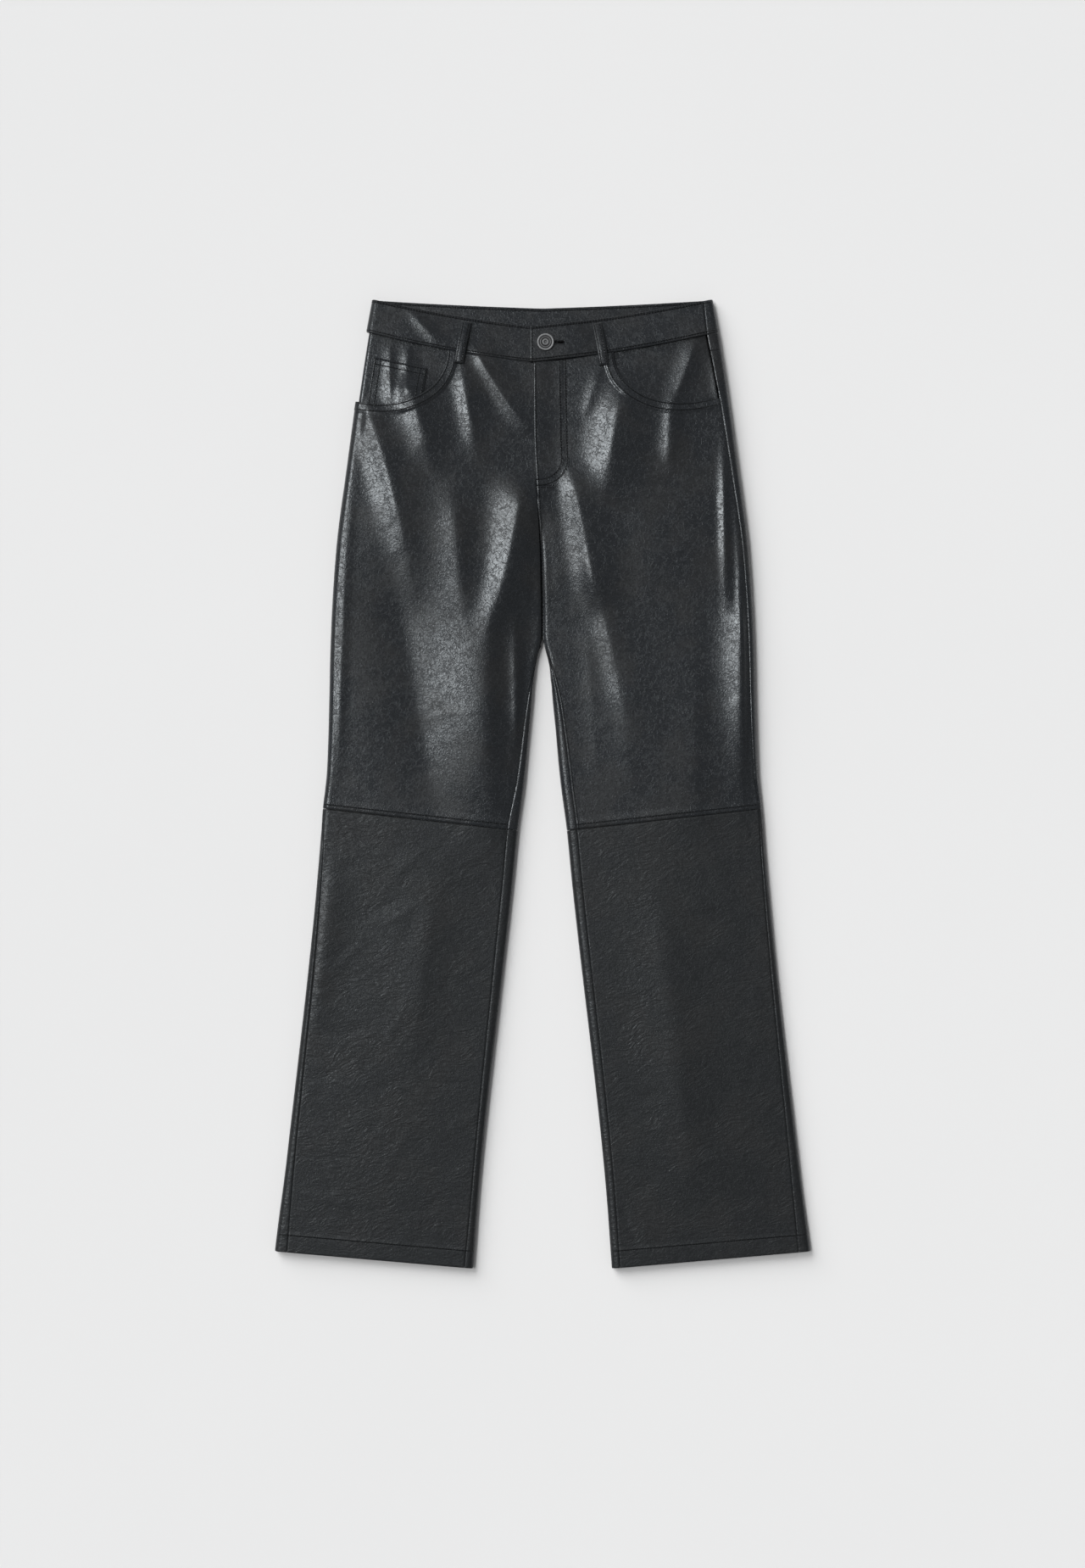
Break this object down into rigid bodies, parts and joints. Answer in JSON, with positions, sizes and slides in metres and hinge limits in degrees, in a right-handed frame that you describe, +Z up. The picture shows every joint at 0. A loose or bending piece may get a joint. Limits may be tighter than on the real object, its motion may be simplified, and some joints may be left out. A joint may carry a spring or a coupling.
{
  "type": "faux-leather straight-leg trousers",
  "caption": "Black leather-look straight-leg trousers laid flat, with scoop pockets, a coin pocket, belt loops, a lapped fly and a buttoned waistband.",
  "frame": {"origin": "centre of the garment's outline, on the surface it lies on", "axes": "+Y from the hems towards the waist, +Z up out of the front of the garment, the wearer's right leg on the -X side"},
  "size_m": [0.587, 1.06, 0.0193],
  "materials": {
    "leg_leather": "charcoal black coated faux leather, fine pebble grain, soft satin sheen",
    "waistband_leather": "the same faux leather, doubled and topstitched",
    "pocket_leather": "the same faux leather on the pocket facings and the coin pocket",
    "thread": "black polyester topstitching thread",
    "button_metal": "gunmetal shank button with turned rings, no lettering"
  },
  "bodies": {
    "root": {"back_shin_left": "leg_leather", "back_shin_right": "leg_leather", "back_thigh_left": "leg_leather", "back_thigh_right": "leg_leather", "back_yoke_left": "leg_leather", "back_yoke_right": "leg_leather", "belt_loop_left": "waistband_leather", "belt_loop_right": "waistband_leather", "coin_pocket": "pocket_leather", "front_shin_left": "leg_leather", "front_shin_right": "leg_leather", "front_thigh_left": "leg_leather", "front_thigh_right": "leg_leather", "pocket_facing_left": "pocket_leather", "pocket_facing_right": "pocket_leather", "waist_button": "button_metal", "waistband_back": "waistband_leather", "waistband_front_left": "waistband_leather", "waistband_front_right": "waistband_leather"}
  },
  "joints": []
}
